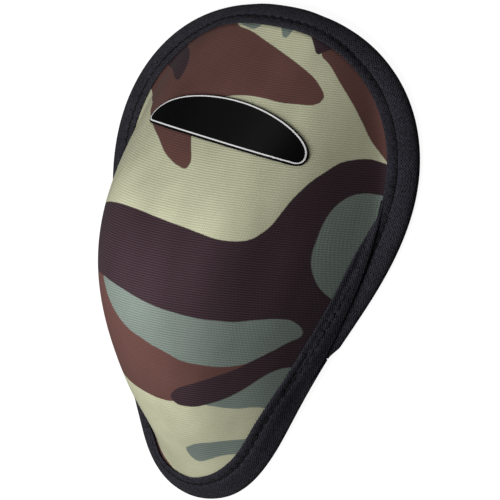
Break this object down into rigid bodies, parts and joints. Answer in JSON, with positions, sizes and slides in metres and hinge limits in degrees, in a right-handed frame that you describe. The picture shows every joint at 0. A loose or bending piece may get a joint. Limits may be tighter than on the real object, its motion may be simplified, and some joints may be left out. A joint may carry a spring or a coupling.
{
  "type": "athletic cup",
  "caption": "Soft moulded athletic cup: a hollow padded shell in camouflage knit, pear-shaped in front view, with a black bound rim and a plain badge, for wear in a pouch.",
  "frame": {"origin": "middle of the footprint, on the surface that the rim lies on", "axes": "+Z out of the front of the cup, away from the body; +Y along its length to the wide waist end; X across it"},
  "size_m": [0.1162, 0.1676, 0.0628],
  "materials": {
    "camouflage_knit": "matt printed knit over foam",
    "binding_tape": "matt black woven tape",
    "badge_film": "satin black film with a pale edge line"
  },
  "bodies": {
    "root": {"cup_wall": "camouflage_knit", "edge_binding": "binding_tape", "badge": "badge_film"}
  },
  "joints": []
}
